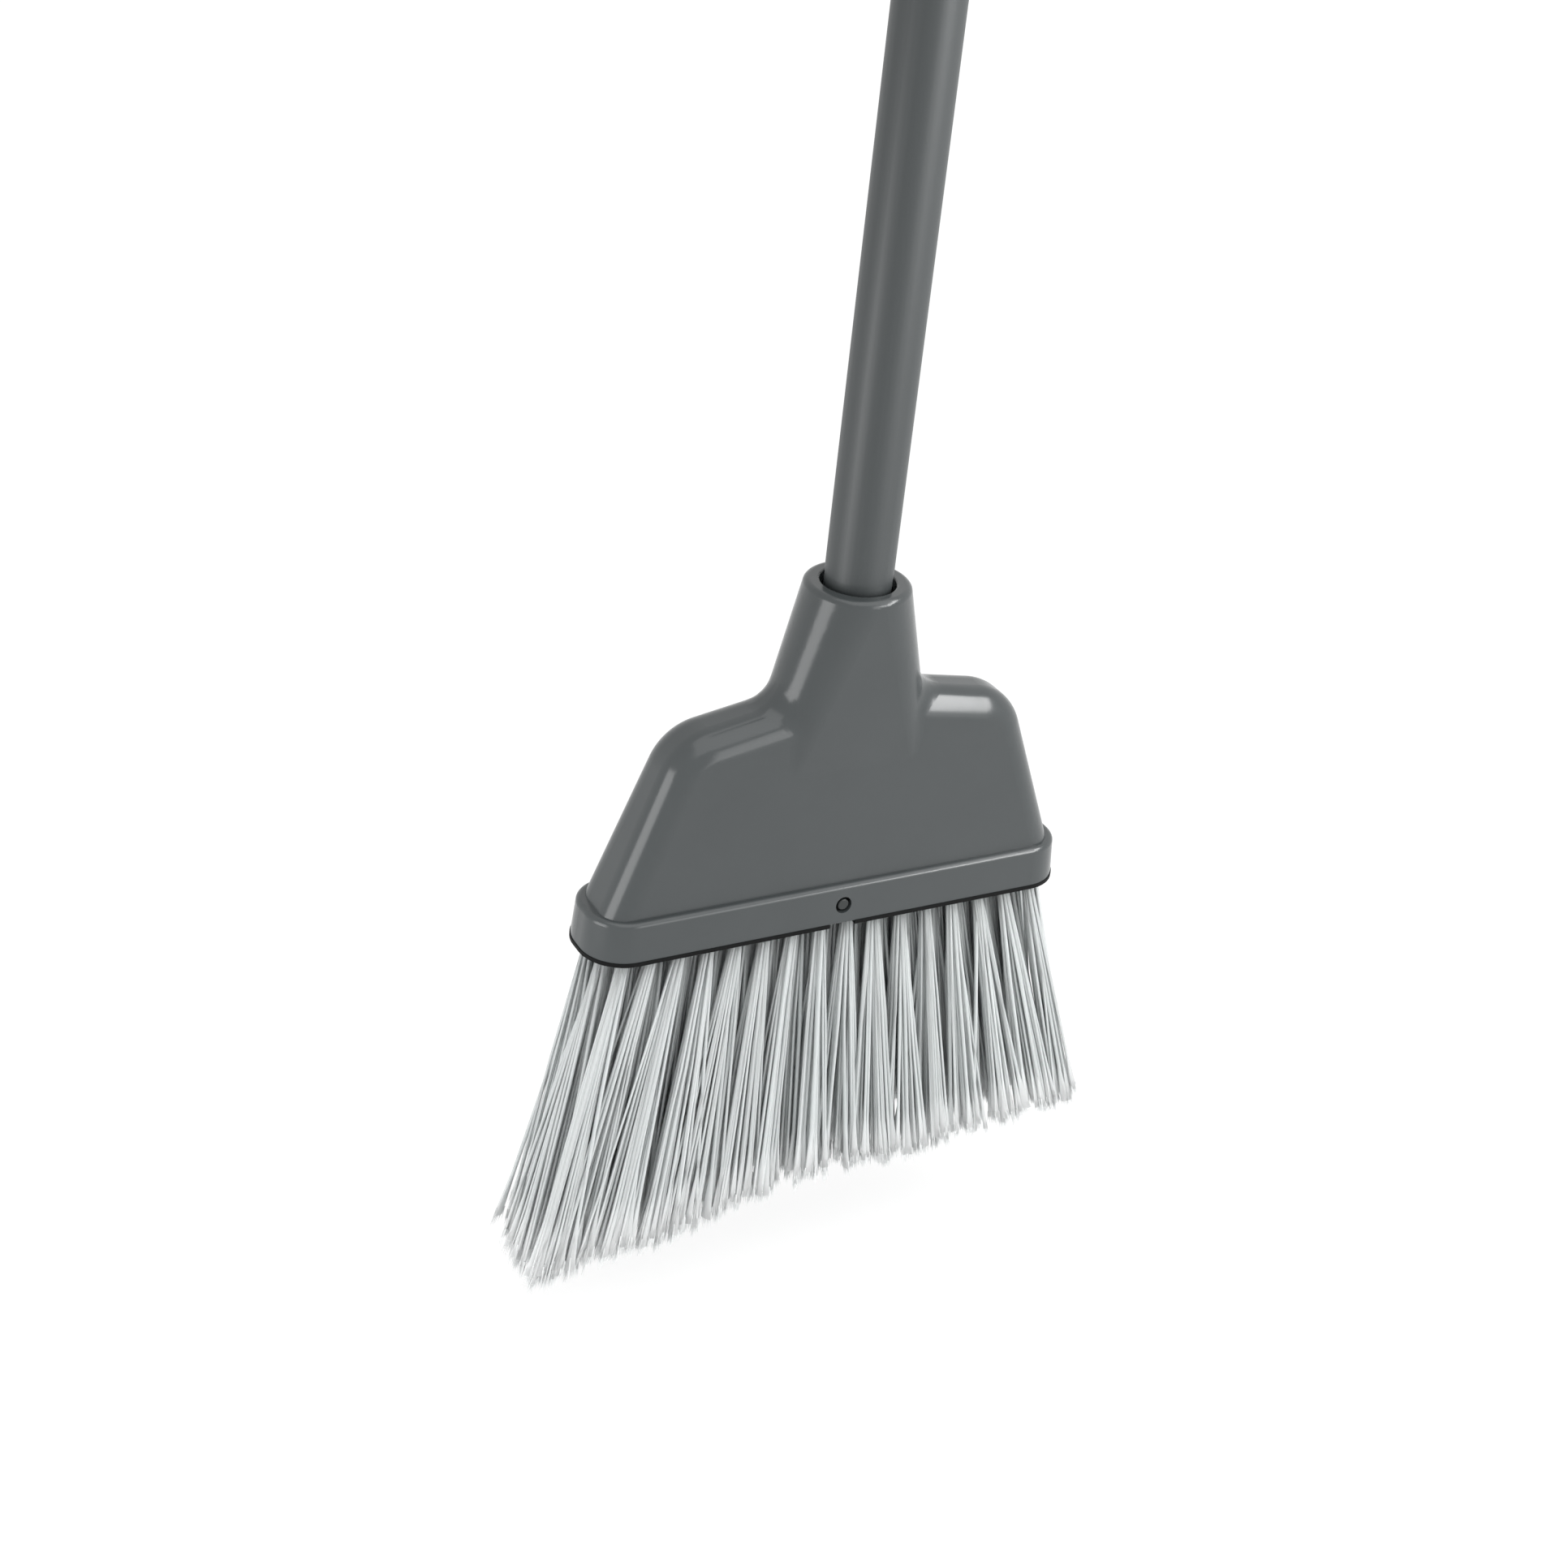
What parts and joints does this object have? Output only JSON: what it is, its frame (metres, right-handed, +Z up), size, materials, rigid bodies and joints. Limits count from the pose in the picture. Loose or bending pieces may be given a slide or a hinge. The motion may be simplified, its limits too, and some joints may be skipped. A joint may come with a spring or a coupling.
{
  "type": "broom",
  "caption": "Upright broom: slant-cut flagged bristles in a hollow moulded cap, screwed onto a vinyl-covered tube handle with a swivelling hang cap.",
  "frame": {"origin": "centre of the hang hole at the top of the handle", "axes": "+Z up along the handle axis, away from the bristles; +X along the head, towards the short end of the slanted cut; +Y through the hang hole, towards the rear"},
  "size_m": [0.2527, 0.0674, 1.4254],
  "materials": {
    "cap_plastic": "satin, moulded",
    "block_plastic": "matt, moulded",
    "pin_plastic": "satin, moulded",
    "bristle_plastic": "extruded filament with flagged tips",
    "tube_steel": "bare rolled tube",
    "sleeve_vinyl": "satin, shrunk on",
    "tip_plastic": "satin, moulded",
    "wire_steel": "bright"
  },
  "bodies": {
    "hang_cap": {"hang_cap": "cap_plastic"},
    "handle": {"handle_tube": "tube_steel", "vinyl_sleeve": "sleeve_vinyl", "threaded_tip": "tip_plastic", "tip_rivets": "wire_steel", "top_plug": "tip_plastic"},
    "head": {"cap_shell": "cap_plastic", "bristle_block": "block_plastic", "lock_pin_front": "pin_plastic", "lock_pin_rear": "pin_plastic", "tuft_row_front": "bristle_plastic", "tuft_row_front_mid": "bristle_plastic", "tuft_row_middle": "bristle_plastic", "tuft_row_rear_mid": "bristle_plastic", "tuft_row_rear": "bristle_plastic", "tuft_anchors_front": "wire_steel", "tuft_anchors_front_mid": "wire_steel", "tuft_anchors_middle": "wire_steel", "tuft_anchors_rear_mid": "wire_steel", "tuft_anchors_rear": "wire_steel"}
  },
  "joints": [
    {"name": "handle_turn", "type": "hinge", "parent": "hang_cap", "child": "handle", "pos_m": [0, 0, 0], "axis": [0, 0, 1], "range_deg": [0, 1800]},
    {"name": "head_drop", "type": "slide", "parent": "hang_cap", "child": "head", "axis": [0, 0, -1], "range_m": [0, 0.0254]}
  ],
  "couplings": [
    {"joint": "head_drop", "follows": "handle_turn", "m_per_rad": 0.0008085}
  ]
}
